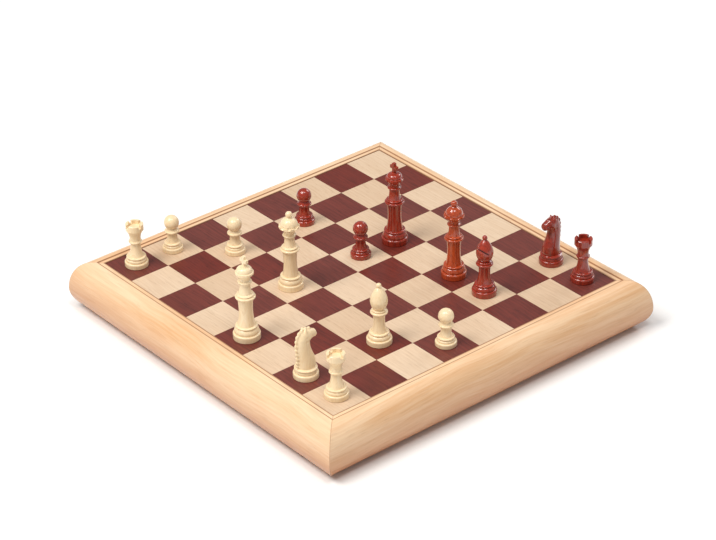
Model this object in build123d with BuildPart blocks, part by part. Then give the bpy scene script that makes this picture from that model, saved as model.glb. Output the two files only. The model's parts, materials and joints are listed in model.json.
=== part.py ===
"""Games compendium box: a mitred hardwood frame, a lift-out board with a chess face and a draughts face,
a red flocked insert below it, and a full set of chessmen and draughts.

Millimetres, +Z up. The origin is the middle of the underside, where the box rests on a table.
X runs along the front rail, and Y from the front rail to the back rail. The light men's side is the front.
"""
from build123d import *
import os
from math import hypot

# ---- driving dimensions: the board ----
square = 33.0              # side of one chess square
chess_count = 8            # squares along a side of the chess face
draughts_count = 10        # squares along a side of the draughts face
board_thickness = 6.0      # with both veneers
veneer = 0.6               # each face's layer of squares
tile_joint = 0.1           # glue line between neighbouring squares
board_gap = 0.4            # play between the board and the frame, each side

# ---- driving dimensions: the frame ----
rail_width = 20.0          # from the opening to the outermost point of the bull-nose
lip_width = 3.5            # flat lip beside the board
lip_drop = 0.4             # the lip lies this far below the top of the rail
quirk_width = 0.6          # V groove between the lip and the bull-nose
quirk_depth = 0.5
nose_height = 16.0         # height of the outermost point of the bull-nose
top_flat = 6.0             # where the bull-nose starts, from the opening
foot_flat = 5.0            # flat underside of the rail, from the opening
panel_thickness = 3.0      # base panel
panel_lift = 3.0           # underside of the base panel above the table
groove_depth = 4.0         # housing of the base panel in the rails
panel_gap = 0.3            # panel edge to the bottom of the groove
spline_length = 16.0       # loose tongue across each mitre: along the mitre
spline_width = 12.0        # across the mitre
spline_thickness = 2.4
spline_height = 15.0       # its underside above the table

# ---- driving dimensions: draughts ----
disc_diameter = 24.4
disc_thickness = 7.0
disc_round = 0.9           # rounded corner of the rim
disc_rim = 2.6             # flat ring at the edge of each face
disc_dish = 0.9            # depth of the hollow in each face
disc_button = 2.6          # radius of the raised middle
disc_step = 0.45           # its height
disc_spacing = 0.15        # air between neighbours in a row
row_count = 10
row_slack = 2.4            # gap where the row is parted for a finger

# ---- driving dimensions: the insert ----
insert_gap = 0.4           # play between the insert and the frame, each side
board_inset = 0.3          # the board lies this far below the lip
wall_rim = 3.0             # from the insert's edge to the first row of pockets
pocket_fit = 0.8           # air beside a man in its pocket
pocket_sink = 0.8          # a lying man's base below the deck
pocket_slope_fit = 0.4     # air under a lying man's foot
pocket_corner = 3.0        # corner radius of a pocket
court_web = 8.5            # between a king or queen and the pawn behind it
pawn_web = 13.5            # between a bishop's row and the pawns behind it
trough_fit = 0.6           # air beside a row of draughts
trough_web = 4.8           # between the two troughs of a pair
trough_edge = 5.0          # from the end of a trough to the insert's edge
trough_floor = 1.0
trough_corner = 2.0
disc_headroom = 0.9        # from a stored draught up to the deck
rest_gap = 0.05            # under a stored round piece

# ---- driving dimensions: the turned men ----
# base and foot: diameter and height of the foot.  ring and ring_z: the bead on it, and its top.
# stem: just below the collar, and hollow: how far the stem's outline curves in.
# collar and collar_z: the wide ring at the neck, and its underside.  neck: just above the rings.
# waist, waist_z and band: the narrow place below a crown, its height, and the ring there.
# head and head_z: the widest place of the head.
# tip and tip_depth: width and depth of the space that the far end of the man needs when it lies down.
men_sizes = {
    "king": dict(height=66.0, base=19.8, foot=5.0, ring=16.0, ring_z=11.0, stem=11.2, hollow=0.9, collar=14.8,
                 collar_z=33.0, neck=9.4, waist=7.6, waist_z=45.0, band=10.4, head=13.2, head_z=52.4,
                 tip=14.0, tip_depth=14.0),
    "queen": dict(height=62.5, base=18.8, foot=4.8, ring=15.2, ring_z=10.4, stem=10.8, hollow=0.8, collar=14.2,
                  collar_z=31.0, neck=9.0, waist=7.4, waist_z=42.4, band=10.0, head=15.0, head_z=50.0,
                  tip=15.6, tip_depth=15.6),
    "bishop": dict(height=48.0, base=18.4, foot=4.6, ring=14.4, ring_z=9.4, stem=8.8, hollow=0.7, collar=12.6,
                   collar_z=24.2, neck=7.8, head=12.6, head_z=34.0, tip=12.8, tip_depth=12.8),
    "knight": dict(height=39.0, base=18.2, foot=4.4, ring=16.4, ring_z=8.4, tip=18.4, tip_depth=13.0),
    "rook": dict(height=35.0, base=17.6, foot=4.2, ring=14.6, ring_z=8.4, stem=7.4, hollow=0.5, collar=10.0,
                 collar_z=19.4, neck=8.2, head=13.2, head_z=29.6, tip=13.6, tip_depth=13.6),
    "pawn": dict(height=29.0, base=15.6, foot=3.8, ring=12.6, ring_z=7.4, stem=7.6, hollow=0.4, collar=11.0,
                 collar_z=15.6, neck=7.2, head=11.2, tip=11.8, tip_depth=11.8),
}

# ---- driving dimensions: small turned details of the men ----
turning = {
    "arris": 0.4,           # small flat on the lower edge of a foot and on a thin rim
    "shoulder": 0.8,        # round shoulder of the foot, inwards
    "shoulder_drop": 1.0,   # and down
    "shoulder_bulge": 0.2,
    "ledge": 1.3,           # from the foot's side in to the bell on it
    "bell_bulge": 0.8,      # where the bell is tall enough for it
    "bead_bulge": 0.8,      # how far a bead stands out of its own cylinder
    "bead_height": 1.6,
    "stem_inset": 0.9,      # from the bead's cylinder in to the stem
    "flare_height": 1.2,    # hollow run from the stem out to the collar
    "flare_hollow": 0.3,
    "collar_height": 1.7,
    "ring_height": 1.3,     # second, smaller ring on the collar
    "ring_step": 0.3,       # flat below and above that ring
    "cone_height": 0.5,     # from a rook's collar up to where its head starts to flare
    "band_height": 1.2,     # ring under a crown
    "band_step": 0.4,
    "band_bulge": 0.5,
    "waist_hollow": 0.3,
    "crown_hollow": 0.9,    # flaring outline of a crown
    "crown_rim": 1.4,       # height of its rim
    "crown_lip": 1.0,       # and its width
    "dome_bulge": 1.2,
}
rook_top = {"wall": 2.0, "depth": 3.0, "gap": 2.4, "gap_depth": 2.4, "flare_hollow": 0.7}
bishop_top = {"ball": 3.8, "neck": 2.4, "slot": 0.9, "slot_rise": 5.0, "lower_bulge": 0.6, "upper_bulge": 1.2}
queen_top = {"ball": 5.0, "neck": 3.0, "neck_round": 0.6, "scallop": 3.4, "scallop_out": 0.3, "scallop_rise": 0.5}
king_top = {"cross": 8.4, "arm": 2.3, "span": 6.9, "span_z": 5.0, "dome": 4.8, "button": 3.8, "button_height": 0.9}
knight_top = {"parting": 1.8, "parting_depth": 2.6, "eye": 1.8, "mouth": 0.5}

# ---- worked out from the sizes above ----
field = square * chess_count
opening = field + 2 * board_gap
outer = opening + 2 * rail_width
panel_top = panel_lift + panel_thickness
deepest_pocket = pocket_sink + max(m["base"] for m in men_sizes.values()) + pocket_slope_fit
insert_height = trough_floor + max(disc_diameter + disc_headroom, deepest_pocket)
deck = panel_top + insert_height
board_top = deck + board_thickness
lip_top = board_top + board_inset
box_height = lip_top + lip_drop
insert_side = opening - 2 * insert_gap
pocket_pitch = insert_side / chess_count
first_row = insert_side / 2 - wall_rim
court_length = max(men_sizes["king"]["height"], men_sizes["queen"]["height"])
officer_length = max(men_sizes[k]["height"] for k in ("bishop", "knight", "rook"))
court_pawn_row = first_row - court_length - 2 * pocket_fit - court_web
pawn_row = first_row - officer_length - 2 * pocket_fit - pawn_web
row_pitch = disc_thickness + disc_spacing
row_length = row_count * row_pitch - disc_spacing + row_slack
trough_length = row_length + 2 * trough_fit
trough_width = disc_diameter + 2 * trough_fit
trough_y = (trough_web + trough_width) / 2
trough_x = insert_side / 2 - trough_edge - trough_length / 2

os.makedirs("parts", exist_ok=True)


def save(builder, name):
    """Label one finished piece and write it as its own file."""
    builder.part.label = name
    export_step(builder.part, f"parts/{name}.step")


def bulged(start, end, bulge):
    """A straight line, or an arc that stands out by bulge to the right of the way from start to end."""
    if bulge == 0:
        Line(start, end)
        return
    along = (end[0] - start[0], end[1] - start[1])
    share = bulge / hypot(*along)
    middle = ((start[0] + end[0]) / 2 + along[1] * share, (start[1] + end[1]) / 2 - along[0] * share)
    ThreePointArc(start, middle, end)


def trace(rows):
    """Closed outline through (radius, height, bulge) rows, back along the axis."""
    places = [(row[0], row[1]) for row in rows]
    for start, end, row in zip(places, places[1:], rows[1:]):
        bulged(start, end, row[2])
    Line(places[-1], places[0])


# ---- frame ----

def rail_outline():
    """Section of a rail: outwards from the middle of the box, then up, with the panel groove."""
    inner = opening / 2
    EllipticalCenterArc((inner + foot_flat, nose_height), rail_width - foot_flat, nose_height,
                        start_angle=270, arc_size=90)
    EllipticalCenterArc((inner + top_flat, nose_height), rail_width - top_flat,
                        box_height - nose_height, start_angle=0, arc_size=90)
    Polyline((inner + top_flat, box_height),
             (inner + lip_width + quirk_width, box_height),
             (inner + lip_width + quirk_width / 2, box_height - quirk_depth),
             (inner + lip_width, lip_top),
             (inner, lip_top),
             (inner, panel_top),
             (inner + groove_depth, panel_top),
             (inner + groove_depth, panel_lift),
             (inner, panel_lift),
             (inner, 0),
             (inner + foot_flat, 0))


def spline_places():
    """The four mitres, each a tongue's middle with its turn about Z."""
    reach = (opening + rail_width) / 2
    height = spline_height + spline_thickness / 2
    corners = [(1, 1, 45), (-1, 1, 135), (-1, -1, 225), (1, -1, 315)]
    return [Location((x * reach, y * reach, height), (0, 0, turn)) for x, y, turn in corners]


def make_back_rail():
    """The rail on the +Y side. Its ends are cut at 45 degrees and slotted for the tongues."""
    with BuildPart() as rail:
        with BuildSketch(Plane.YZ):
            with BuildLine():
                rail_outline()
            make_face()
        extrude(amount=outer / 2, both=True)
        split(bisect_by=Plane(origin=(0, 0, 0), z_dir=(1, -1, 0)), keep=Keep.BOTTOM)
        split(bisect_by=Plane(origin=(0, 0, 0), z_dir=(-1, -1, 0)), keep=Keep.BOTTOM)
        with Locations(spline_places()[:2]):
            Box(spline_length, spline_width, spline_thickness, mode=Mode.SUBTRACT)
    return rail.part


def build_frame():
    pattern = make_back_rail()
    for name, turn in (("rail_back", 0), ("rail_left", 90), ("rail_front", 180), ("rail_right", 270)):
        with BuildPart() as rail:
            with Locations(Location((0, 0, 0), (0, 0, turn))):
                add(pattern)
        save(rail, name)
    with BuildPart() as tongues:
        with Locations(spline_places()):
            Box(spline_length, spline_width, spline_thickness)
    save(tongues, "mitre_splines")
    with BuildPart() as panel:
        side = opening + 2 * (groove_depth - panel_gap)
        with BuildSketch(Plane.XY.offset(panel_lift)):
            Rectangle(side, side)
        extrude(amount=panel_thickness)
    save(panel, "base_panel")


# ---- board ----

def tile_places(count, dark):
    """Middles of the dark or the light squares. The square at the left of the front row is dark."""
    side = field / count
    edge = (count - 1) / 2
    return [((i - edge) * side, (j - edge) * side)
            for i in range(count) for j in range(count) if ((i + j) % 2 == 0) == dark]


def build_board():
    with BuildPart() as core:
        with BuildSketch(Plane.XY.offset(deck + veneer)):
            Rectangle(field, field)
        extrude(amount=board_thickness - 2 * veneer)
    save(core, "board_core")
    for face, count, base in (("chess", chess_count, board_top - veneer), ("draughts", draughts_count, deck)):
        tile = field / count - tile_joint
        for shade in ("light", "dark"):
            with BuildPart() as squares:
                with BuildSketch(Plane.XY.offset(base)):
                    with Locations(tile_places(count, shade == "dark")):
                        Rectangle(tile, tile)
                extrude(amount=veneer)
            save(squares, f"{face}_squares_{shade}")


# ---- chessmen ----

def cap(start, end, radius):
    """Row that reaches end from start along a circle of this radius."""
    half_chord = hypot(end[0] - start[0], end[1] - start[1]) / 2
    return (end[0], end[1], radius - (radius ** 2 - half_chord ** 2) ** 0.5)


def foot_rows(m):
    """Outline of the foot, the bell on it and the bead on top."""
    t = turning
    foot_r = m["base"] / 2
    bead_r = m["ring"] / 2 - t["bead_bulge"]
    bead_z = m["ring_z"] - t["bead_height"]
    bell_bulge = min(t["bell_bulge"], (bead_z - m["foot"]) / 4)
    return [(0, 0, 0),
            (foot_r - t["arris"], 0, 0),
            (foot_r, t["arris"], 0),
            (foot_r, m["foot"] - t["shoulder_drop"], 0),
            (foot_r - t["shoulder"], m["foot"], t["shoulder_bulge"]),
            (foot_r - t["ledge"], m["foot"], 0),
            (bead_r, bead_z, bell_bulge),
            (bead_r, m["ring_z"], t["bead_bulge"])]


def stem_rows(m):
    """Outline of the stem, hollowed a little, and of the collar."""
    t = turning
    z = m["collar_z"]
    collar_r = m["collar"] / 2 - t["bead_bulge"]
    return [(m["ring"] / 2 - t["bead_bulge"] - t["stem_inset"], m["ring_z"], 0),
            (m["stem"] / 2, z - t["flare_height"], -m["hollow"]),
            (collar_r, z, -t["flare_hollow"]),
            (collar_r, z + t["collar_height"], t["bead_bulge"])]


def ring_rows(m):
    """Outline of the smaller ring on the collar, up to the neck."""
    t = turning
    low = m["collar_z"] + t["collar_height"] + t["ring_step"]
    high = low + t["ring_height"]
    neck_r = m["neck"] / 2
    small_r = (m["collar"] / 2 - t["bead_bulge"] + neck_r) / 2
    return [(small_r, low, 0), (small_r, high, t["ring_height"] / 2), (neck_r, high + t["ring_step"], 0)]


def band_rows(m):
    """Outline of the neck, which narrows to the waist, and of the ring there."""
    t = turning
    waist_r = m["waist"] / 2
    band_r = m["band"] / 2 - t["band_bulge"]
    low = m["waist_z"] + t["band_step"]
    high = low + t["band_height"]
    return [(waist_r, m["waist_z"], -t["waist_hollow"]), (band_r, low, 0), (band_r, high, t["band_bulge"]),
            (waist_r, high + t["band_step"], 0)]


def turned(rows):
    with BuildPart() as man:
        with BuildSketch(Plane.XZ):
            with BuildLine():
                trace(rows)
            make_face()
        revolve(axis=Axis.Z)
    return man.part


def ball_rows(neck_r, ball_r, top):
    """Outline of a ball on a neck, closed at the top."""
    middle = top - ball_r
    start = (neck_r, middle - (ball_r ** 2 - neck_r ** 2) ** 0.5)
    side = (ball_r, middle)
    return [(*start, 0), cap(start, side, ball_r), cap(side, (0, top), ball_r)]


def make_pawn(m):
    return turned(foot_rows(m) + stem_rows(m) + ball_rows(m["neck"] / 2, m["head"] / 2, m["height"]))


def make_rook(m):
    """A tower with a hollow top and four battlements."""
    t = turning
    head_r = m["head"] / 2
    top = m["height"]
    start_z = m["collar_z"] + t["collar_height"] + t["cone_height"]
    rows = foot_rows(m) + stem_rows(m)
    rows += [(m["neck"] / 2, start_z, 0),
             (head_r - t["arris"], m["head_z"], -rook_top["flare_hollow"]),
             (head_r, m["head_z"] + t["arris"], 0),
             (head_r, top - t["arris"], 0),
             (head_r - t["arris"], top, 0),
             (0, top, 0)]
    with BuildPart() as man:
        add(turned(rows))
        with Locations((0, 0, top)):
            Cylinder(head_r - rook_top["wall"], 2 * rook_top["depth"], mode=Mode.SUBTRACT)
            Box(2 * m["head"], rook_top["gap"], 2 * rook_top["gap_depth"], mode=Mode.SUBTRACT)
            Box(rook_top["gap"], 2 * m["head"], 2 * rook_top["gap_depth"], mode=Mode.SUBTRACT)
    return man.part


def make_bishop(m):
    """A mitre with its slanting cut and a small ball on the point."""
    ball = ball_rows(bishop_top["neck"] / 2, bishop_top["ball"] / 2, m["height"])
    side = (m["head"] / 2, m["head_z"])
    rows = foot_rows(m) + stem_rows(m) + ring_rows(m)
    rows += [(*side, bishop_top["lower_bulge"]), (ball[0][0], ball[0][1], bishop_top["upper_bulge"])] + ball[1:]
    with BuildPart() as man:
        add(turned(rows))
        with Locations(Location((0, side[0], side[1] + bishop_top["slot_rise"]), (40, 0, 0))):
            Box(m["head"], 1.1 * m["head"], bishop_top["slot"], mode=Mode.SUBTRACT)
    return man.part


def make_queen(m):
    """A flared coronet with nine scallops round a dome, and a ball on top."""
    t = turning
    rim_r = m["head"] / 2
    rim_z = m["head_z"] + t["crown_rim"]
    step = queen_top["neck_round"]
    ball = ball_rows(queen_top["neck"] / 2, queen_top["ball"] / 2, m["height"])
    rows = foot_rows(m) + stem_rows(m) + ring_rows(m) + band_rows(m)
    rows += [(rim_r, m["head_z"], -t["crown_hollow"]), (rim_r, rim_z, 0), (rim_r - t["crown_lip"], rim_z, 0),
             (ball[0][0] + step, ball[0][1] - step, t["dome_bulge"]), ball[0]] + ball[1:]
    with BuildPart() as man:
        add(turned(rows))
        with Locations((0, 0, rim_z + queen_top["scallop_rise"])):
            with PolarLocations(rim_r + queen_top["scallop_out"], 9):
                Sphere(queen_top["scallop"] / 2, mode=Mode.SUBTRACT)
    return man.part


def make_king(m):
    """A flared crown with a dome, and a small cross on top."""
    t = turning
    rim_r = m["head"] / 2
    rim_z = m["head_z"] + t["crown_rim"]
    arm = king_top["arm"]
    dome_z = m["height"] - king_top["cross"]
    button_z = dome_z + king_top["button_height"]
    rows = foot_rows(m) + stem_rows(m) + ring_rows(m) + band_rows(m)
    rows += [(rim_r, m["head_z"], -t["crown_hollow"]), (rim_r, rim_z, 0),
             (rim_r - t["crown_lip"], rim_z + t["arris"], 0), (king_top["dome"] / 2, dome_z, t["dome_bulge"]),
             (king_top["button"] / 2, button_z, 0), (0, button_z, 0)]
    with BuildPart() as man:
        add(turned(rows))
        with BuildSketch(Plane.XZ):
            with Locations((0, dome_z + king_top["cross"] / 2)):
                Rectangle(arm, king_top["cross"])
            with Locations((0, dome_z + king_top["span_z"])):
                Rectangle(king_top["span"], arm)
        extrude(amount=arm / 2, both=True)
    return man.part


# the horse, looking along +Y: forward in radii of the foot, and up in heights of the head from the bead
horse_front = [(0.70, 0.0), (0.80, 0.16), (0.68, 0.34), (0.38, 0.49)]
horse_jaw = [(0.38, 0.49), (0.52, 0.565), (0.93, 0.60)]
horse_muzzle = [(0.93, 0.60), (1.00, 0.67), (0.93, 0.745)]
horse_brow = [(0.93, 0.745), (0.55, 0.86), (0.26, 0.92)]
horse_ears = [(0.26, 0.92), (0.14, 1.0), (-0.12, 0.93)]
horse_crest = [(-0.12, 0.93), (-0.55, 0.86), (-0.84, 0.60), (-0.88, 0.28), (-0.78, 0.0)]
horse_from_front = [(0.70, 0.0), (0.63, 0.34), (0.54, 0.60), (0.46, 0.80), (0.34, 1.0)]
horse_from_above = [(0.28, -0.96), (0.70, -0.38), (0.70, 0.34), (0.34, 1.06)]


def horse_head(m):
    """Head and neck of the knight: one side view, narrowed from the front and from above."""
    z = m["ring_z"]
    tall = m["height"] - z
    wide = m["base"] / 2
    deep = 2 * m["base"]

    def placed(points):
        return [(y * wide, z + up * tall) for y, up in points]

    front = [(x * wide, z + up * tall) for x, up in horse_from_front]
    above = [(x * wide, y * wide) for x, y in horse_from_above]
    with BuildPart() as head:
        with BuildSketch(Plane.YZ):
            with BuildLine():
                Spline(*placed(horse_front))
                Spline(*placed(horse_jaw))
                Spline(*placed(horse_muzzle))
                Spline(*placed(horse_brow))
                Polyline(*placed(horse_ears))
                Spline(*placed(horse_crest))
                Line(placed(horse_crest)[-1], placed(horse_front)[0])
            make_face()
        extrude(amount=wide, both=True)
        with BuildSketch(Plane.XZ):
            Polygon(*front, *[(-x, up) for x, up in reversed(front)], align=None)
        extrude(amount=deep, both=True, mode=Mode.INTERSECT)
        with BuildSketch(Plane.XY):
            Polygon(*above, *[(-x, y) for x, y in reversed(above)], align=None)
        extrude(amount=m["height"] + wide, mode=Mode.INTERSECT)
        with Locations((0, 0, m["height"])):
            Box(knight_top["parting"], deep, 2 * knight_top["parting_depth"], mode=Mode.SUBTRACT)
        with Locations(*[(side * 0.46 * wide, 0.36 * wide, z + 0.78 * tall) for side in (-1, 1)]):
            Sphere(knight_top["eye"] / 2, mode=Mode.SUBTRACT)
        with Locations(Location((0, 0.92 * wide, z + 0.645 * tall), (12, 0, 0))):
            Box(deep, 0.5 * wide, knight_top["mouth"], mode=Mode.SUBTRACT)
    return head.part


def make_knight(m):
    with BuildPart() as man:
        add(turned(foot_rows(m) + [(0, m["ring_z"], 0)]))
        add(horse_head(m))
    return man.part


makers = {"king": make_king, "queen": make_queen, "bishop": make_bishop, "knight": make_knight,
          "rook": make_rook, "pawn": make_pawn}
shapes = {kind: makers[kind](size) for kind, size in men_sizes.items()}

# each army, from the left as its own back row sees it
officers = ["rook", "knight", "bishop", "king", "queen", "bishop", "knight", "rook"]
army = ["rook_1", "knight_1", "bishop_1", "king", "queen", "bishop_2", "knight_2", "rook_2"]
army += [f"pawn_{k}" for k in range(1, 9)]

# men that stand on the board, with their column and row, counted from the front left corner
standing = {
    "light_rook_1": (0, 0), "light_king": (4, 0), "light_knight_2": (6, 0), "light_rook_2": (7, 0),
    "light_queen": (3, 2), "light_bishop_2": (6, 2),
    "light_pawn_1": (0, 1), "light_pawn_2": (1, 2), "light_pawn_8": (7, 3),
    "dark_pawn_2": (1, 4), "dark_pawn_4": (3, 4),
    "dark_king": (3, 5), "dark_queen": (5, 5), "dark_bishop_2": (6, 5),
    "dark_knight_2": (6, 7), "dark_rook_2": (7, 7),
}


def kind_of(man):
    return man.split("_")[0]


def row_start(man, column):
    """Distance from the insert's middle to the near end of a man's pocket."""
    if kind_of(man) != "pawn":
        return first_row
    if officers[column] in ("king", "queen"):
        return court_pawn_row
    return pawn_row


def pocket_place(side, man):
    """Where a pocket starts on the deck, running towards the middle. The dark men lie by the front rail."""
    index = army.index(man)
    column = index % chess_count
    across = (column - (chess_count - 1) / 2) * pocket_pitch
    start = -row_start(man, column)
    if side == "dark":
        return Location((across, start, deck), (0, 0, 0))
    return Location((-across, -start, deck), (0, 0, 180))


def lying_place(side, man):
    """A man on its side in its pocket, foot to the rail. A knight lies on its cheek."""
    size = men_sizes[kind_of(man)]
    down = Location((0, pocket_fit, -pocket_sink - size["base"] / 2), (-90, 0, 0))
    roll = Location((0, 0, 0), (0, 0, 90 if kind_of(man) == "knight" else 0))
    return pocket_place(side, man) * down * roll


def standing_place(side, column, row):
    """A man on its square. The light men face +Y and the dark men -Y."""
    edge = (chess_count - 1) / 2
    return Location(((column - edge) * square, (row - edge) * square, board_top),
                    (0, 0, 0 if side == "light" else 180))


def build_men():
    for side in ("light", "dark"):
        for man in army:
            name = f"{side}_{man}"
            if name in standing:
                place = standing_place(side, *standing[name])
            else:
                place = lying_place(side, man)
            with BuildPart() as piece:
                with Locations(place):
                    add(shapes[kind_of(man)])
            save(piece, name)


# ---- insert ----

def pocket_cutter(m):
    """Space of one pocket below the deck: tapered in plan, with a floor that rises towards the tip."""
    length = m["height"] + 2 * pocket_fit
    base_half = m["base"] / 2 + pocket_fit
    tip_half = m["tip"] / 2 + pocket_fit
    base_depth = pocket_sink + m["base"] + pocket_slope_fit
    tip_depth = pocket_sink + (m["base"] + m["tip_depth"]) / 2
    with BuildPart() as cutter:
        with BuildSketch() as plan:
            Polygon((-base_half, 0), (base_half, 0), (tip_half, length), (-tip_half, length), align=None)
            fillet(plan.vertices(), radius=pocket_corner)
        extrude(amount=-base_depth)
        split(bisect_by=Plane(origin=(0, 0, -base_depth), x_dir=(1, 0, 0),
                              z_dir=(0, tip_depth - base_depth, length)), keep=Keep.TOP)
    return cutter.part


def build_insert():
    """One flocked deck in three blocks, which meet between two columns of pockets."""
    cutters = {kind: pocket_cutter(size) for kind, size in men_sizes.items()}
    pockets = [(pocket_place(side, man), cutters[kind_of(man)]) for side in ("light", "dark") for man in army]
    troughs = [(x, y) for x in (-trough_x, trough_x) for y in (-trough_y, trough_y)]
    edge = insert_side / 2
    seam = pocket_pitch
    for name, low, high in (("insert_left", -edge, -seam), ("insert_centre", -seam, seam),
                            ("insert_right", seam, edge)):
        with BuildPart() as block:
            with BuildSketch(Plane.XY.offset(panel_top)):
                with Locations(((low + high) / 2, 0)):
                    Rectangle(high - low, insert_side)
            extrude(amount=insert_height)
            for place, cutter in pockets:
                if low < place.position.X < high:
                    with Locations(place):
                        add(cutter, mode=Mode.SUBTRACT)
            own_troughs = [place for place in troughs if low < place[0] < high]
            if own_troughs:
                with BuildSketch(Plane.XY.offset(deck)):
                    with Locations(own_troughs):
                        RectangleRounded(trough_length, trough_width, trough_corner)
                extrude(amount=trough_floor - insert_height, mode=Mode.SUBTRACT)
        save(block, name)


# ---- draughts ----

def make_disc():
    """A draughtsman about its own axis: rounded rim, flat ring, and a hollow face with a raised middle."""
    disc_r = disc_diameter / 2
    half = disc_thickness / 2
    ring_r = disc_r - disc_rim
    floor = half - disc_dish
    face = [(disc_r, half - disc_round), (disc_r - disc_round, half), (ring_r, half),
            (ring_r - disc_dish, floor), (disc_button + disc_step, floor),
            (disc_button, floor + disc_step), (0, floor + disc_step)]
    lower = [(radius, -height, 0) for radius, height in reversed(face)]
    upper = [(radius, height, 0) for radius, height in face]
    with BuildPart() as disc:
        add(turned(lower + upper))
        rims = disc.edges().filter_by(GeomType.CIRCLE).group_by(SortBy.RADIUS)[-1]
        fillet(rims, radius=disc_round / 2)
    return disc.part


def build_draughts():
    """Four rows of ten on edge, dark in the front troughs. Each row is parted at its own place."""
    disc = make_disc()
    height = panel_top + trough_floor + disc_diameter / 2 + rest_gap
    rows = [("draughts_dark_left", -1, -1, 6), ("draughts_dark_right", 1, -1, 8),
            ("draughts_light_left", -1, 1, 4), ("draughts_light_right", 1, 1, 7)]
    for name, x_side, y_side, parted in rows:
        start = x_side * trough_x - row_length / 2 + disc_thickness / 2
        places = [Location((start + k * row_pitch + (row_slack if k >= parted else 0),
                            y_side * trough_y, height), (0, 90, 0)) for k in range(row_count)]
        with BuildPart() as row:
            with Locations(places):
                add(disc)
        save(row, name)


build_frame()
build_insert()
build_draughts()
build_board()
build_men()

print(f"outer {outer:.1f} mm square, {box_height:.1f} mm high, board {field:.1f} mm, deck at {deck:.1f} mm")
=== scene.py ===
import json
import math

import bmesh
import bpy
from mathutils import Matrix, Vector


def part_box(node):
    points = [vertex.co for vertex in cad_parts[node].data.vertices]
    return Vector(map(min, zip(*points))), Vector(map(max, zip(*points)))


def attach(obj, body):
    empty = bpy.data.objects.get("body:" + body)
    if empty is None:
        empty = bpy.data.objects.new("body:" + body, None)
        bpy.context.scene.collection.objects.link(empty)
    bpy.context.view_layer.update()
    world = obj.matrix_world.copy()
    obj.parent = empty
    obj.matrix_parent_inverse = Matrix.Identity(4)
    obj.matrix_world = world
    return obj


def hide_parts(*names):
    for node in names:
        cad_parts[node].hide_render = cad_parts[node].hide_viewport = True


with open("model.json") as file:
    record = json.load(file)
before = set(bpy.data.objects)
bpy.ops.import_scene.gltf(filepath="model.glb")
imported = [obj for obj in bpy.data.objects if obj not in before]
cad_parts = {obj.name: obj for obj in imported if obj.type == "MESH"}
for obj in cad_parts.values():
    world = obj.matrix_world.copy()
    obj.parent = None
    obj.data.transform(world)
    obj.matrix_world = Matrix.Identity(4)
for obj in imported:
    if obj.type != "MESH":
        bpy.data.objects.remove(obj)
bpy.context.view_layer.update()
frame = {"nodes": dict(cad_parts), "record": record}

nodes = frame["nodes"]
mm = 0.001
print("frame loaded:", len(nodes), "nodes")

# sizes shared with the part, in millimetres
square = 33.0
fieldSide = 8 * square
boardTop = 38.3
boardThickness = 6.0
boardGap = 0.4          # play between the board and the frame
lipWidth = 3.5          # flat lip beside the board
quirkWidth = 0.6        # V groove beside the lip
pocketSink = 0.8        # from the deck down to a lying man's foot
deckTop = boardTop - boardThickness
openingAt = fieldSide / 2 + boardGap
grooveAt = openingAt + lipWidth + quirkWidth / 2


# node helpers

def feed(tree, socket, value):
    if hasattr(value, "links"):
        tree.links.new(value, socket)
    else:
        socket.default_value = value


def addNode(tree, kind, options=None, values=None):
    node = tree.nodes.new(kind)
    for name, value in (options or {}).items():
        setattr(node, name, value)
    for name, value in (values or {}).items():
        feed(tree, node.inputs[name], value)
    return node


def maths(tree, operation, *values, clamp=False):
    node = addNode(tree, "ShaderNodeMath", {"operation": operation, "use_clamp": clamp})
    for socket, value in zip(node.inputs, values):
        feed(tree, socket, value)
    return node.outputs[0]


def vectorMaths(tree, operation, *values):
    node = addNode(tree, "ShaderNodeVectorMath", {"operation": operation})
    for socket, value in zip(node.inputs, values):
        feed(tree, socket, value)
    return node.outputs[0]


def mixColour(tree, factor, first, second, blend="MIX"):
    node = addNode(tree, "ShaderNodeMix", {"data_type": "RGBA", "blend_type": blend})
    for index, value in ((0, factor), (6, first), (7, second)):
        feed(tree, node.inputs[index], value)
    return node.outputs[2]


def remap(tree, value, low, high, toLow=0.0, toHigh=1.0):
    return addNode(tree, "ShaderNodeMapRange", {"interpolation_type": "SMOOTHSTEP"},
                   {"Value": value, "From Min": low, "From Max": high,
                    "To Min": toLow, "To Max": toHigh}).outputs[0]


def noise(tree, vector, scale, detail=2.0, roughness=0.5):
    return addNode(tree, "ShaderNodeTexNoise", values={
        "Vector": vector, "Scale": scale, "Detail": detail, "Roughness": roughness}).outputs[0]


def rgb(colour):
    return (*colour, 1.0)


def newGroup(name, inputs, outputs):
    tree = bpy.data.node_groups.new(name, "ShaderNodeTree")
    kinds = {"vector": "NodeSocketVector", "colour": "NodeSocketColor", "value": "NodeSocketFloat"}
    for label, kind, value in inputs:
        socket = tree.interface.new_socket(label, in_out="INPUT", socket_type=kinds[kind])
        if value is not None:
            socket.default_value = value
    for label, kind in outputs:
        tree.interface.new_socket(label, in_out="OUTPUT", socket_type=kinds[kind])
    return tree, tree.nodes.new("NodeGroupInput").outputs, tree.nodes.new("NodeGroupOutput").inputs


def useGroup(tree, group, values):
    node = addNode(tree, "ShaderNodeGroup", {"node_tree": group})
    for name, value in values.items():
        feed(tree, node.inputs[name], value)
    return node.outputs


# wood: growth rings, long streaks and pores, with the grain along the vector's X
grainShape = {
    "wanderScale": 9.0, "wander": 0.012,
    "pith": (0.0, 0.047, 0.031), "ringFlow": (0.06, 1.0, 1.0), "ringShape": 2.2,
    "streakScale": (26.0, 620.0, 620.0), "cloudScale": (9.0, 48.0, 48.0),
    "poreScale": 0.55, "poreFlow": 0.055,
}
# noise scales of brushed flock, worn flock and finger marks
markScales = {"brushed": 55.0, "worn": 14.0, "smudge": 38.0}


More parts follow.
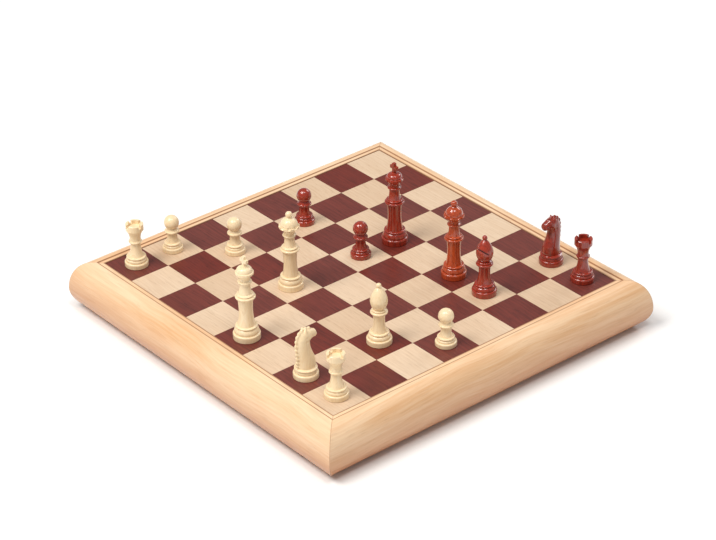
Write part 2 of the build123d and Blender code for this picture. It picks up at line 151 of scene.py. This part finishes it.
def makeWoodGroup():
    tree, given, result = newGroup(
        "woodGrain",
        [("Vector", "vector", None), ("Ring Gap", "value", 0.003),
         ("Pale", "colour", rgb((0.8, 0.6, 0.4))), ("Deep", "colour", rgb((0.6, 0.4, 0.25))),
         ("Pore Colour", "colour", rgb((0.3, 0.2, 0.1))),
         ("Rings", "value", 0.3), ("Streaks", "value", 0.3), ("Clouds", "value", 0.3),
         ("Pores", "value", 0.3), ("Pore Width", "value", 0.0003)],
        [("Colour", "colour"), ("Gloss", "value"), ("Relief", "value")])
    vector = given["Vector"]
    wander = noise(tree, vector, grainShape["wanderScale"])
    wander = maths(tree, "MULTIPLY", maths(tree, "SUBTRACT", wander, 0.5), grainShape["wander"])
    offset = addNode(tree, "ShaderNodeCombineXYZ", values={"Y": wander, "Z": wander}).outputs[0]
    warped = vectorMaths(tree, "ADD", vector, offset)
    # rings round a pith line, which each seed puts somewhere else
    pith = vectorMaths(tree, "ADD", warped, grainShape["pith"])
    flat = vectorMaths(tree, "MULTIPLY", pith, grainShape["ringFlow"])
    radius = addNode(tree, "ShaderNodeVectorMath", {"operation": "LENGTH"}, {0: flat}).outputs["Value"]
    turns = maths(tree, "DIVIDE", radius, given["Ring Gap"])
    ring = maths(tree, "POWER", maths(tree, "FRACT", turns), grainShape["ringShape"])
    streak = noise(tree, vectorMaths(tree, "MULTIPLY", warped, grainShape["streakScale"]), 1.0, 3.0, 0.6)
    streak = remap(tree, streak, 0.3, 0.72)
    cloud = noise(tree, vectorMaths(tree, "MULTIPLY", vector, grainShape["cloudScale"]), 1.0)
    cloud = remap(tree, cloud, 0.34, 0.68)
    # pores are short dark ticks along the grain
    across = maths(tree, "DIVIDE", grainShape["poreScale"], given["Pore Width"])
    along = maths(tree, "MULTIPLY", across, grainShape["poreFlow"])
    stretch = addNode(tree, "ShaderNodeCombineXYZ",
                      values={"X": along, "Y": across, "Z": across}).outputs[0]
    pore = noise(tree, vectorMaths(tree, "MULTIPLY", warped, stretch), 1.0, 1.0)
    pore = remap(tree, pore, 0.60, 0.70)
    depth = maths(tree, "MULTIPLY", ring, given["Rings"])
    depth = maths(tree, "ADD", depth, maths(tree, "MULTIPLY", streak, given["Streaks"]))
    depth = maths(tree, "ADD", depth, maths(tree, "MULTIPLY", cloud, given["Clouds"]), clamp=True)
    colour = mixColour(tree, depth, given["Pale"], given["Deep"])
    pores = maths(tree, "MULTIPLY", pore, given["Pores"])
    colour = mixColour(tree, pores, colour, given["Pore Colour"])
    feed(tree, result["Colour"], colour)
    feed(tree, result["Gloss"], maths(tree, "ADD", maths(tree, "MULTIPLY", streak, 0.6),
                                      maths(tree, "MULTIPLY", pore, 0.4)))
    feed(tree, result["Relief"], maths(tree, "SUBTRACT", maths(tree, "MULTIPLY", streak, 0.35), pore))
    return tree


# one random value and one random shift for each square of a chequered face
def makeTileGroup():
    tree, given, result = newGroup(
        "tileChoice", [("Vector", "vector", None), ("Pitch", "value", 0.033)],
        [("Shift", "vector"), ("Choice", "value")])
    pitch = addNode(tree, "ShaderNodeCombineXYZ",
                    values={"X": given["Pitch"], "Y": given["Pitch"], "Z": 1.0}).outputs[0]
    cell = vectorMaths(tree, "FLOOR", vectorMaths(tree, "DIVIDE", given["Vector"], pitch))
    pick = addNode(tree, "ShaderNodeTexWhiteNoise", {"noise_dimensions": "3D"}, {"Vector": cell})
    feed(tree, result["Shift"], vectorMaths(tree, "ADD", given["Vector"], pick.outputs["Color"]))
    feed(tree, result["Choice"], pick.outputs["Value"])
    return tree


# thin lines: one follows a square round the middle of the box, the other its diagonals
def makeSquareLineGroup():
    tree, given, result = newGroup(
        "squareLine", [("Vector", "vector", None), ("Distance", "value", 0.1), ("Width", "value", 0.001)],
        [("Line", "value"), ("Mitre", "value")])
    parts = addNode(tree, "ShaderNodeSeparateXYZ", values={"Vector": given["Vector"]}).outputs
    x = maths(tree, "ABSOLUTE", parts["X"])
    y = maths(tree, "ABSOLUTE", parts["Y"])
    away = maths(tree, "ABSOLUTE", maths(tree, "SUBTRACT", maths(tree, "MAXIMUM", x, y), given["Distance"]))
    line = maths(tree, "DIVIDE", away, given["Width"])
    feed(tree, result["Line"], remap(tree, line, 0.5, 1.0, 1.0, 0.0))
    corner = maths(tree, "ABSOLUTE", maths(tree, "SUBTRACT", x, y))
    feed(tree, result["Mitre"], remap(tree, corner, 0.00010, 0.00045, 1.0, 0.0))
    return tree


# short fibres standing on a moulding, brushed this way and that
def makeFlockGroup():
    tree, given, result = newGroup(
        "flockPile",
        [("Vector", "vector", None), ("Bright", "colour", rgb((0.6, 0.02, 0.02))),
         ("Shade", "colour", rgb((0.3, 0.01, 0.01))), ("Fibre", "value", 0.00035)],
        [("Colour", "colour"), ("Relief", "value")])
    scale = maths(tree, "DIVIDE", 1.0, given["Fibre"])
    fibre = noise(tree, given["Vector"], scale, 2.0, 0.7)
    brushed = noise(tree, given["Vector"], markScales["brushed"], 3.0, 0.6)
    worn = noise(tree, given["Vector"], markScales["worn"])
    amount = maths(tree, "MULTIPLY", remap(tree, fibre, 0.35, 0.65), 0.45)
    amount = maths(tree, "ADD", amount, maths(tree, "MULTIPLY", remap(tree, brushed, 0.35, 0.7), 0.35))
    patches = maths(tree, "MULTIPLY", remap(tree, worn, 0.4, 0.65), 0.2)
    amount = maths(tree, "ADD", amount, patches, clamp=True)
    feed(tree, result["Colour"], mixColour(tree, amount, given["Shade"], given["Bright"]))
    feed(tree, result["Relief"], fibre)
    return tree


# handling marks that change the gloss a little
def makeHandlingGroup():
    tree, given, result = newGroup(
        "handling", [("Vector", "vector", None), ("Gloss", "value", 0.5), ("Smooth", "value", 0.3),
                     ("Dull", "value", 0.5)],
        [("Roughness", "value")])
    smudge = noise(tree, given["Vector"], markScales["smudge"], 3.0, 0.6)
    smudge = maths(tree, "MULTIPLY", remap(tree, smudge, 0.35, 0.7), 0.5)
    mixed = maths(tree, "ADD", smudge, maths(tree, "MULTIPLY", given["Gloss"], 0.5))
    span = maths(tree, "SUBTRACT", given["Dull"], given["Smooth"])
    feed(tree, result["Roughness"], maths(tree, "ADD", given["Smooth"], maths(tree, "MULTIPLY", mixed, span)))
    return tree


woodGroup = makeWoodGroup()
tileGroup = makeTileGroup()
squareLineGroup = makeSquareLineGroup()
flockGroup = makeFlockGroup()
handlingGroup = makeHandlingGroup()
print("shader groups built")


# turns of the grain: the group's X looks along this axis of the box
grainTurns = {"X": (0, 0, 0), "Y": (0, 0, -math.pi / 2), "Z": (0, math.pi / 2, 0)}


def startMaterial(name):
    material = bpy.data.materials.new(name)
    material.use_nodes = True
    tree = material.node_tree
    tree.nodes.clear()
    shader = addNode(tree, "ShaderNodeBsdfPrincipled")
    output = addNode(tree, "ShaderNodeOutputMaterial")
    tree.links.new(shader.outputs[0], output.inputs["Surface"])
    place = addNode(tree, "ShaderNodeTexCoord").outputs["Object"]
    return material, tree, shader, place


def woodMaterial(name, look, along="X", seed=0.0, lines=False):
    material, tree, shader, place = startMaterial(name)
    spot = place
    if "pitch" in look:
        tile = useGroup(tree, tileGroup, {"Vector": place, "Pitch": look["pitch"]})
        spot = tile["Shift"]
    turned = addNode(tree, "ShaderNodeMapping", values={
        "Vector": spot, "Location": (seed, seed * 0.61, seed * 0.37),
        "Rotation": grainTurns[along]}).outputs[0]
    wood = useGroup(tree, woodGroup, {
        "Vector": turned, "Ring Gap": look["ringGap"], "Pale": rgb(look["pale"]), "Deep": rgb(look["deep"]),
        "Pore Colour": rgb(look["pore"]), "Rings": look["rings"], "Streaks": look["streaks"],
        "Clouds": look["clouds"], "Pores": look["pores"], "Pore Width": look["poreWidth"]})
    colour = wood["Colour"]
    if "pitch" in look:
        tint = remap(tree, tile["Choice"], 0.0, 1.0, 0.0, look["tileChange"])
        colour = mixColour(tree, tint, colour, rgb(look["tileColour"]), "MULTIPLY")
    # painted shade: darker towards the bottom of the rail, in place of the shade at its foot
    if "paintedFootShade" in look:
        height = addNode(tree, "ShaderNodeSeparateXYZ", values={"Vector": place}).outputs["Z"]
        depth = remap(tree, height, 0.0, look["paintedShadeTop"], 1.0, 0.0)
        colour = mixColour(tree, depth, colour, rgb(look["paintedFootShade"]), "MULTIPLY")
    # painted shadow: dark lines in the V groove and along the gap beside the board, in the pore colour; the
    # diagonal marks are the real dark mitre joints
    if lines:
        dark = 0.0
        for distance, width in look["lines"]:
            marks = useGroup(tree, squareLineGroup, {
                "Vector": place, "Distance": distance * mm, "Width": width * mm})
            dark = maths(tree, "MAXIMUM", dark, maths(tree, "MULTIPLY", marks["Line"], look["paintedShadowLineDark"]))
        dark = maths(tree, "MAXIMUM", dark, maths(tree, "MULTIPLY", marks["Mitre"], look["mitreDark"]))
        colour = mixColour(tree, dark, colour, rgb(look["pore"]))
    feed(tree, shader.inputs["Base Color"], colour)
    polish = useGroup(tree, handlingGroup, {
        "Vector": place, "Gloss": wood["Gloss"], "Smooth": look["smooth"], "Dull": look["dull"]})
    feed(tree, shader.inputs["Roughness"], polish["Roughness"])
    shader.inputs["Coat Weight"].default_value = look["coat"]
    shader.inputs["Coat Roughness"].default_value = look["coatRoughness"]
    bump = addNode(tree, "ShaderNodeBump", values={
        "Height": wood["Relief"], "Strength": look["bump"], "Distance": 0.0001})
    feed(tree, shader.inputs["Normal"], bump.outputs[0])
    return material


def dress(name, material):
    piece = nodes[name]
    piece.data.materials.clear()
    piece.data.materials.append(material)


# frame: pale steamed beech, satin lacquer
beech = {
    "ringGap": 0.0060, "pale": (0.94, 0.69, 0.45), "deep": (0.76, 0.43, 0.21), "pore": (0.30, 0.12, 0.05),
    "rings": 0.22, "streaks": 0.34, "clouds": 0.52, "pores": 0.12, "poreWidth": 0.0004,
    "smooth": 0.28, "dull": 0.42, "coat": 0.35, "coatRoughness": 0.2, "bump": 0.2,
}
# painted shade: the rails are browner towards their foot, where shade falls, and carry thin painted shadow
# lines in the V groove and the gap beside the board: distance from the middle, width, in millimetres
rails = dict(beech, paintedFootShade=(0.60, 0.35, 0.19), paintedShadeTop=0.034,
             lines=((grooveAt, 0.8), (openingAt, 1.1)), paintedShadowLineDark=0.75, mitreDark=0.6)
for name, along, seed in (("rail_front", "X", 0.0), ("rail_right", "Y", 1.3),
                          ("rail_back", "X", 2.7), ("rail_left", "Y", 4.1)):
    dress(name, woodMaterial("beech_" + name, rails, along, seed, lines=True))
dress("mitre_splines", woodMaterial("beech_splines", rails, "X", 5.0))
print("rails dressed")

# base panel: plain ply
panel = dict(beech, pale=(0.78, 0.60, 0.40), deep=(0.66, 0.45, 0.27), rings=0.45, clouds=0.5,
             smooth=0.5, dull=0.7, coat=0.0, bump=0.5)
dress("base_panel", woodMaterial("ply_panel", panel, "X", 7.0))

# board: core, then veneer squares on both faces
core = dict(panel, pale=(0.74, 0.57, 0.38), deep=(0.60, 0.42, 0.26))
dress("board_core", woodMaterial("board_core_wood", core, "Y", 8.0))
paleVeneer = {
    "ringGap": 0.0022, "pale": (0.78, 0.60, 0.43), "deep": (0.65, 0.46, 0.30), "pore": (0.46, 0.31, 0.19),
    "rings": 0.25, "streaks": 0.45, "clouds": 0.20, "pores": 0.35, "poreWidth": 0.00035,
    "smooth": 0.38, "dull": 0.55, "coat": 0.10, "coatRoughness": 0.3, "bump": 0.2,
    "tileChange": 1.0, "tileColour": (0.90, 0.86, 0.82),
}
darkVeneer = {
    "ringGap": 0.0026, "pale": (0.195, 0.042, 0.030), "deep": (0.100, 0.021, 0.016),
    "pore": (0.030, 0.007, 0.006), "rings": 0.30, "streaks": 0.50, "clouds": 0.25,
    "pores": 0.5, "poreWidth": 0.00035,
    "smooth": 0.34, "dull": 0.50, "coat": 0.0, "coatRoughness": 0.3, "bump": 0.25,
    "tileChange": 1.0, "tileColour": (0.92, 0.52, 0.38),
}
for face, pitch in (("chess", square * mm), ("draughts", fieldSide / 10 * mm)):
    for tone, look in (("light", paleVeneer), ("dark", darkVeneer)):
        name = f"{face}_squares_{tone}"
        veneer = woodMaterial(f"{tone}_veneer_{face}", dict(look, pitch=pitch), "X", 9.0)
        dress(name, veneer)
print("board dressed")

# men: boxwood and stained mahogany, turned, so the grain runs along each man
boxwood = {
    "ringGap": 0.0016, "pale": (0.95, 0.77, 0.51), "deep": (0.86, 0.62, 0.34), "pore": (0.60, 0.38, 0.18),
    "rings": 0.35, "streaks": 0.30, "clouds": 0.25, "pores": 0.25, "poreWidth": 0.00025,
    "smooth": 0.26, "dull": 0.42, "coat": 0.35, "coatRoughness": 0.15, "bump": 0.15,
}
mahogany = {
    "ringGap": 0.0018, "pale": (0.42, 0.036, 0.011), "deep": (0.19, 0.014, 0.006),
    "pore": (0.04, 0.006, 0.004), "rings": 0.35, "streaks": 0.45, "clouds": 0.35,
    "pores": 0.5, "poreWidth": 0.00025,
    "smooth": 0.16, "dull": 0.30, "coat": 0.7, "coatRoughness": 0.08, "bump": 0.15,
}
queenStain = dict(mahogany, pale=(0.58, 0.085, 0.015), deep=(0.32, 0.036, 0.009))
turnedWoods = {"light": boxwood, "dark": mahogany}
logs = 3    # cuts of the same wood, taken in turn
kinds = ("king", "queen", "bishop", "knight", "rook", "pawn")
bodyOf = {node: body for body, row in frame["record"]["behaviour"]["bodies"].items() for node in row}
men = [name for name in sorted(nodes) if name.split("_")[1] in kinds]
menMaterials = {}
for tone, look in turnedWoods.items():
    for along in "ZY":
        for k in range(logs):
            menMaterials[tone, along, k] = woodMaterial(f"{tone}_men_{along}{k}", look, along, 11.0 + k * 1.7)
menMaterials["queen"] = woodMaterial("dark_queen_stain", queenStain, "Z", 3.3)


def manMaterial(name, count):
    if name == "dark_queen":
        return menMaterials["queen"]
    along = "Z" if bodyOf[name] != "box" else "Y"
    return menMaterials[name.split("_")[0], along, count % logs]


for count, name in enumerate(men):
    dress(name, manMaterial(name, count))
print("men dressed:", len(men))


# knights: a carved head over the turned foot, looking along +Y, in millimetres
knight = {
    "footRadius": 9.1,
    "foot": [(0, 0), (8.7, 0), (9.1, 0.4), (9.1, 3.4), (8.9, 4.0), (8.3, 4.4), (7.8, 4.4), (8.0, 5.2),
             (7.9, 6.0), (7.4, 6.8), (8.0, 7.1), (8.2, 7.6), (8.0, 8.1), (7.4, 8.4), (6.6, 8.7), (0, 8.7)],
    # place of its middle forward and up, lean, half depth, half width
    "sections": [
        (0.0, 7.9, 0, 6.9, 6.4), (0.4, 11.0, 0, 7.2, 6.3), (0.2, 15.0, 2, 6.8, 5.8),
        (-0.9, 19.0, 4, 6.0, 5.2), (-1.8, 23.0, 2, 5.6, 4.7), (-2.2, 27.0, -6, 5.5, 4.4),
        (-1.9, 30.3, -20, 5.5, 4.2), (-0.6, 32.6, -44, 5.2, 4.1),
        (1.3, 33.5, -68, 4.9, 4.1), (3.2, 33.5, -82, 4.3, 3.8),
        (5.0, 33.2, -88, 3.7, 3.3), (6.6, 32.8, -92, 3.2, 3.0), (7.9, 32.4, -94, 2.9, 3.0),
        (8.5, 32.2, -94, 2.3, 2.4), (8.9, 32.1, -94, 1.2, 1.3)],
    "earRoot": (1.9, -0.9, 34.6), "earTip": (2.3, -0.6, 38.9), "earThick": 2.0, "earPoint": 0.3,
    "mane": [(1.6, 37.2), (-1.0, 37.6), (-3.4, 36.8), (-5.4, 35.2), (-6.8, 32.8), (-7.4, 29.8), (-7.6, 26.6),
             (-7.5, 23.2), (-7.2, 19.8), (-6.9, 16.4), (-6.7, 13.0), (-6.6, 10.2)],
    "lock": (1.5, 2.7, 1.5), "lockShift": (0.0, 0.5, -0.4), "lockTurn": 0.75,
    # nostril, mouth, eye corner and the hollow behind the cheek: place, reach, depth
    "dents": [((2.4, 8.4, 33.5), 0.8, 0.5), ((2.9, 6.6, 30.9), 0.8, 0.45), ((2.6, 8.1, 30.8), 0.8, 0.45),
              ((3.7, 4.2, 34.9), 0.9, 0.5), ((4.2, -1.0, 29.4), 1.6, 0.45), ((4.1, -0.6, 32.6), 1.5, 0.3)],
    "bumps": [((3.7, 3.2, 35.6), 0.9, 0.5), ((4.1, 1.8, 31.0), 2.4, 0.5)],
    "voxel": 0.34, "smooth": 5, "sides": 72, "sharpAngle": 38,
}


def addLathe(bm, outline, sides):
    rings = []
    for radius, z in outline:
        if radius == 0:
            rings.append([bm.verts.new((0, 0, z))])
            continue
        turn = [2 * math.pi * k / sides for k in range(sides)]
        rings.append([bm.verts.new((radius * math.cos(t), radius * math.sin(t), z)) for t in turn])
    for low, high in zip(rings, rings[1:]):
        for k in range(sides):
            after = k + 1
            ring = [low[k % len(low)], low[after % len(low)], high[after % len(high)], high[k % len(high)]]
            bm.faces.new(list(dict.fromkeys(ring)))    # a point on the axis counts once


def addSections(bm, sections, sides=30):
    rings = []
    for y, z, lean, depth, width in sections:
        a = math.radians(lean)
        ring = []
        for k in range(sides):
            t = 2 * math.pi * k / sides
            along = depth * math.sin(t)
            ring.append(bm.verts.new((width * math.cos(t), y + along * math.cos(a), z + along * math.sin(a))))
        rings.append(ring)
    for low, high in zip(rings, rings[1:]):
        for k in range(sides):
            bm.faces.new((low[k], low[(k + 1) % sides], high[(k + 1) % sides], high[k]))
    bm.faces.new(rings[0][::-1])
    bm.faces.new(rings[-1])


def addSpike(bm, root, tip, thick, point):
    root, tip = Vector(root), Vector(tip)
    turn = (tip - root).to_track_quat("Z", "Y").to_matrix().to_4x4()
    bmesh.ops.create_cone(bm, cap_ends=True, segments=16, radius1=thick, radius2=point,
                          depth=(tip - root).length, matrix=Matrix.Translation((root + tip) / 2) @ turn)


def addMane(bm, look):
    line = look["mane"]
    for k, (y, z) in enumerate(line):
        ahead, behind = line[min(k + 1, len(line) - 1)], line[max(k - 1, 0)]
        slope = math.atan2(ahead[1] - behind[1], ahead[0] - behind[0])
        turn = Matrix.Rotation(slope + look["lockTurn"], 4, "X")
        middle = Vector((0, y, z)) + Vector(look["lockShift"])
        place = Matrix.Translation(middle) @ turn @ Matrix.Diagonal((*look["lock"], 1.0))
        bmesh.ops.create_icosphere(bm, subdivisions=3, radius=1.0, matrix=place)


def press(mesh, place, reach, amount, fade=2.5):
    place = Vector(place)
    for vertex in mesh.vertices:
        away = (vertex.co - place).length / reach
        if away < 2:
            vertex.co += vertex.normal * amount * math.exp(-fade * away * away)


def toMesh(bm, name):
    bmesh.ops.recalc_face_normals(bm, faces=bm.faces[:])
    mesh = bpy.data.meshes.new(name)
    bm.to_mesh(mesh)
    bm.free()
    return mesh


def makeObject(name, data):
    piece = bpy.data.objects.new(name, data)
    bpy.context.scene.collection.objects.link(piece)
    return piece


def makeKnightMesh(look):
    bm = bmesh.new()
    addSections(bm, look["sections"])
    for side in (-1, 1):
        root, tip = look["earRoot"], look["earTip"]
        addSpike(bm, (side * root[0], *root[1:]), (side * tip[0], *tip[1:]),
                 look["earThick"], look["earPoint"])
    addMane(bm, look)
    rough = makeObject("knight_rough", toMesh(bm, "knight_rough"))
    remesh = rough.modifiers.new("remesh", "REMESH")
    remesh.mode = "VOXEL"
    remesh.voxel_size = look["voxel"]
    soften = rough.modifiers.new("soften", "SMOOTH")
    soften.iterations = look["smooth"]
    carved = bpy.data.meshes.new_from_object(rough.evaluated_get(bpy.context.evaluated_depsgraph_get()))
    bpy.data.objects.remove(rough)
    for side in (-1, 1):
        for place, reach, amount in look["dents"]:
            press(carved, (side * place[0], *place[1:]), reach, -amount)
        for place, reach, amount in look["bumps"]:
            press(carved, (side * place[0], *place[1:]), reach, amount)
    bm = bmesh.new()
    bm.from_mesh(carved)
    bpy.data.meshes.remove(carved)
    addLathe(bm, look["foot"], look["sides"])
    mesh = toMesh(bm, "knight")
    mesh.transform(Matrix.Scale(mm, 4))
    mesh.shade_smooth()
    mesh.set_sharp_from_angle(angle=math.radians(look["sharpAngle"]))
    return mesh


def knightPlace(name):
    low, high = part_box(name)
    middle = (low + high) / 2
    dark = name.startswith("dark")
    if bodyOf[name] != "box":
        turn = Matrix.Rotation(math.pi if dark else 0, 4, "Z")
        sideways = (high.y - low.y) / 2
        at = Vector((middle.x, high.y - sideways if dark else low.y + sideways, low.z))
        return Matrix.Translation(at) @ turn
    # on its cheek in its pocket, foot to the rail
    turn = Matrix.Rotation(0 if dark else math.pi, 4, "Z")
    down = Matrix.Rotation(-math.pi / 2, 4, "X") @ Matrix.Rotation(math.pi / 2, 4, "Z")
    lyingHeight = (deckTop - pocketSink - knight["footRadius"]) * mm
    at = Vector((pocketMiddle(middle.x), low.y if dark else high.y, lyingHeight))
    return Matrix.Translation(at) @ turn @ down


def pocketMiddle(x):
    return (math.floor(x / (square * mm)) + 0.5) * square * mm


knightMesh = makeKnightMesh(knight)
for count, name in enumerate(men):
    if "knight" not in name:
        continue
    mesh = knightMesh.copy()
    mesh.transform(knightPlace(name))
    mesh.materials.append(manMaterial(name, count))
    piece = makeObject(name + "_carved", mesh)
    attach(piece, bodyOf[name])
    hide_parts(name)
print("knights carved:", len(knightMesh.polygons), "faces each")

# draughts
for tone, look in turnedWoods.items():
    for side in ("left", "right"):
        name = f"draughts_{tone}_{side}"
        dress(name, woodMaterial(f"{tone}_{side}_draughts", look, "X", 20.0))

# insert: one moulding with soft edges, flocked red
flock = {
    "bright": (0.60, 0.013, 0.016), "shade": (0.34, 0.006, 0.009), "fibre": 0.0004, "roughness": 0.95,
    "sheen": 0.35, "sheenRoughness": 0.45, "sheenTint": (1.0, 0.25, 0.25), "bump": 0.5, "bumpDepth": 0.0003,
}
tray = {
    "seam": square, "deck": deckTop, "weld": 0.002, "flatAngle": 1.0,
    "rimAngle": 0.9, "rimRound": 0.8, "steps": 3, "sharpAngle": 40,
}


def flockMaterial(name, look):
    material, tree, shader, place = startMaterial(name)
    pile = useGroup(tree, flockGroup, {"Vector": place, "Bright": rgb(look["bright"]),
                                       "Shade": rgb(look["shade"]), "Fibre": look["fibre"]})
    feed(tree, shader.inputs["Base Color"], pile["Colour"])
    shader.inputs["Roughness"].default_value = look["roughness"]
    shader.inputs["Sheen Weight"].default_value = look["sheen"]
    shader.inputs["Sheen Roughness"].default_value = look["sheenRoughness"]
    shader.inputs["Sheen Tint"].default_value = rgb(look["sheenTint"])
    bump = addNode(tree, "ShaderNodeBump", values={
        "Height": pile["Relief"], "Strength": look["bump"], "Distance": look["bumpDepth"]})
    feed(tree, shader.inputs["Normal"], bump.outputs[0])
    return material


def makeTray(look):
    bm = bmesh.new()
    for name in ("insert_left", "insert_centre", "insert_right"):
        bm.from_mesh(nodes[name].data)
    # the blocks meet at two seams: drop the hidden faces and weld what is left
    seam, deck, weld = look["seam"] * mm, look["deck"] * mm, look["weld"] * mm
    hidden = [f for f in bm.faces if all(abs(abs(v.co.x) - seam) < weld / 2 for v in f.verts)]
    bmesh.ops.delete(bm, geom=hidden, context="FACES")
    bmesh.ops.remove_doubles(bm, verts=bm.verts[:], dist=weld)
    flat = math.radians(look["flatAngle"])
    bmesh.ops.dissolve_limit(bm, angle_limit=flat, verts=bm.verts[:], edges=bm.edges[:])
    # the mouths of the pockets and troughs, and the moulding's own edge
    rims = [e for e in bm.edges if len(e.link_faces) == 2 and e.calc_face_angle(0) > look["rimAngle"]
            and all(abs(v.co.z - deck) < weld / 2 for v in e.verts)]
    bmesh.ops.bevel(bm, geom=rims, offset=look["rimRound"] * mm, segments=look["steps"], profile=0.5,
                    affect="EDGES", clamp_overlap=True)
    mesh = toMesh(bm, "flocked_tray")
    mesh.shade_smooth()
    mesh.set_sharp_from_angle(angle=math.radians(look["sharpAngle"]))
    return makeObject("flocked_tray", mesh)


flockedTray = makeTray(tray)
flockedTray.data.materials.append(flockMaterial("red_flock_pile", flock))
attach(flockedTray, "box")
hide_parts("insert_left", "insert_centre", "insert_right")
print("tray made:", len(flockedTray.data.polygons), "faces")


# stage: pale floor, soft light, camera at the photo's angle
stage = {
    "floorColour": (0.93, 0.93, 0.925), "floorShade": 0.985, "floorGrain": 400.0, "floorRoughness": 0.9,
    "floorSize": 30.0,
    "skyFill": 0.34, "azimuth": 50.6, "elevation": 31.0, "roll": -0.96,
    "distance": 1.946, "lens": 134.0, "sensor": 36.0, "aim": (0.0, 0.0, 0.040),
}
lamps = [
    {"name": "keyLamp", "at": (-0.35, -1.55, 2.5), "size": 1.3, "watts": 62.0, "colour": (1.0, 0.98, 0.95)},
    {"name": "sideLamp", "at": (0.9, -0.3, 2.8), "size": 0.8, "watts": 24.0, "colour": (1.0, 0.98, 0.96)},
    {"name": "rimLamp", "at": (-0.3, 2.3, 1.5), "size": 1.0, "watts": 16.0, "colour": (0.97, 0.98, 1.0)},
]


def makeFloor(look):
    mesh = bpy.data.meshes.new("floor")
    edge = look["floorSize"] / 2
    corners = [(-edge, -edge, 0), (edge, -edge, 0), (edge, edge, 0), (-edge, edge, 0)]
    mesh.from_pydata(corners, [], [(0, 1, 2, 3)])
    material = bpy.data.materials.new("floor_paper")
    material.use_nodes = True
    tree = material.node_tree
    shader = tree.nodes["Principled BSDF"]
    grain = noise(tree, addNode(tree, "ShaderNodeTexCoord").outputs["Object"], look["floorGrain"])
    shade = [c * look["floorShade"] for c in look["floorColour"]]
    paper = mixColour(tree, remap(tree, grain, 0.3, 0.7), rgb(look["floorColour"]), rgb(shade))
    feed(tree, shader.inputs["Base Color"], paper)
    shader.inputs["Roughness"].default_value = look["floorRoughness"]
    mesh.materials.append(material)
    return makeObject("floor", mesh)


# the camera sees a white sky, and the pieces get a dimmer one
def makeWorld(look):
    world = bpy.data.worlds.new("studio")
    bpy.context.scene.world = world
    world.use_nodes = True
    tree = world.node_tree
    tree.nodes.clear()
    white = rgb((1, 1, 1))
    fill = addNode(tree, "ShaderNodeBackground", values={"Color": white, "Strength": look["skyFill"]})
    shown = addNode(tree, "ShaderNodeBackground", values={"Color": white, "Strength": 1.0})
    rays = addNode(tree, "ShaderNodeLightPath").outputs
    mix = addNode(tree, "ShaderNodeMixShader", values={
        0: rays["Is Camera Ray"], 1: fill.outputs[0], 2: shown.outputs[0]})
    out = addNode(tree, "ShaderNodeOutputWorld")
    tree.links.new(mix.outputs[0], out.inputs["Surface"])


def makeLamp(lamp, aim):
    data = bpy.data.lights.new(lamp["name"], "AREA")
    data.size = lamp["size"]
    data.energy = lamp["watts"]
    data.color = lamp["colour"]
    light = makeObject(lamp["name"], data)
    light.location = lamp["at"]
    light.rotation_euler = (aim - Vector(lamp["at"])).to_track_quat("-Z", "Y").to_euler()


def makeCamera(look, aim):
    a, e = math.radians(look["azimuth"]), math.radians(look["elevation"])
    back = Vector((math.sin(a) * math.cos(e), -math.cos(a) * math.cos(e), math.sin(e)))
    data = bpy.data.cameras.new("camera")
    data.sensor_width = look["sensor"]
    data.lens = look["lens"]
    camera = makeObject("camera", data)
    camera.location = aim + back * look["distance"]
    camera.rotation_mode = "QUATERNION"
    turn = Matrix.Rotation(math.radians(look["roll"]), 3, back)
    camera.rotation_quaternion = (turn @ (-back).to_track_quat("-Z", "Y").to_matrix()).to_quaternion()
    bpy.context.scene.camera = camera


floor = makeFloor(stage)
makeWorld(stage)
aim = Vector(stage["aim"])
for lamp in lamps:
    makeLamp(lamp, aim)
makeCamera(stage, aim)
bpy.context.scene.view_settings.view_transform = "Standard"
print("stage ready")
